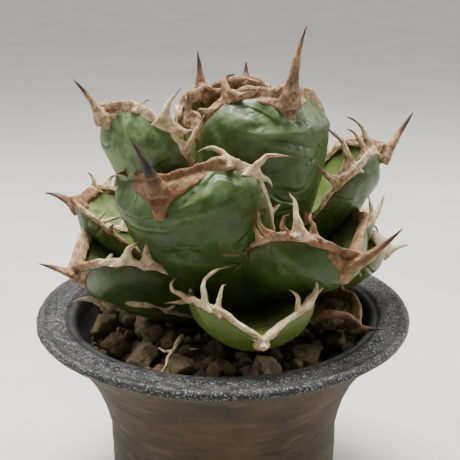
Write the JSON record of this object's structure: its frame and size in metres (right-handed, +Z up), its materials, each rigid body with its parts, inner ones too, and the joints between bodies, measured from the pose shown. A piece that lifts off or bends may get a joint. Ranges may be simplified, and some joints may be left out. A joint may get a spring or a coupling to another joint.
{
  "type": "potted agave",
  "caption": "Compact rosette of thick, cupped agave leaves with horny toothed edges and end spines, in a wide-rimmed dark clay pot topped with gravel.",
  "frame": {"origin": "centre of the standing footprint, on the floor under the middle of the pot's foot", "axes": "+Z up along the pot's axis, -Y towards the front, where the broad front leaf leans out, +X to the right seen from the front"},
  "size_m": [0.1521, 0.1502, 0.2058],
  "materials": {
    "pot_clay": "matte",
    "net_plastic": "matte",
    "substrate": "matte",
    "gravel": "matte",
    "stem_bark": "matte",
    "leaf_skin": "satin",
    "spear_skin": "satin",
    "dry_leaf": "matte"
  },
  "bodies": {
    "root": {"drain_net": "net_plastic", "dry_leaf": "dry_leaf", "heart_leaf_1": "leaf_skin", "heart_leaf_2": "leaf_skin", "heart_leaf_3": "leaf_skin", "heart_leaf_4": "leaf_skin", "leaf_back": "leaf_skin", "leaf_back_left": "leaf_skin", "leaf_back_right": "leaf_skin", "leaf_front": "leaf_skin", "leaf_front_broad": "leaf_skin", "leaf_high_back_left": "leaf_skin", "leaf_left_high": "leaf_skin", "leaf_left_low": "leaf_skin", "leaf_left_thin": "leaf_skin", "leaf_low_back": "leaf_skin", "leaf_low_left": "leaf_skin", "leaf_low_right": "leaf_skin", "leaf_right_high": "leaf_skin", "leaf_right_inner": "leaf_skin", "leaf_right_low": "leaf_skin", "leaf_tall": "leaf_skin", "leaf_tall_back": "leaf_skin", "pot": "pot_clay", "spear": "spear_skin", "stem": "stem_bark", "stone_01": "gravel", "stone_02": "gravel", "stone_03": "gravel", "stone_04": "gravel", "stone_05": "gravel", "stone_06": "gravel", "stone_07": "gravel", "stone_08": "gravel", "stone_09": "gravel", "stone_10": "gravel", "stone_11": "gravel", "stone_12": "gravel", "stone_13": "gravel", "stone_14": "gravel", "stone_15": "gravel", "stone_16": "gravel", "stone_17": "gravel", "stone_18": "gravel", "stone_19": "gravel", "stone_20": "gravel", "stone_21": "gravel", "stone_22": "gravel", "stone_23": "gravel", "stone_24": "gravel", "stone_25": "gravel", "stone_26": "gravel", "stone_27": "gravel", "stone_28": "gravel", "substrate": "substrate"}
  },
  "joints": []
}
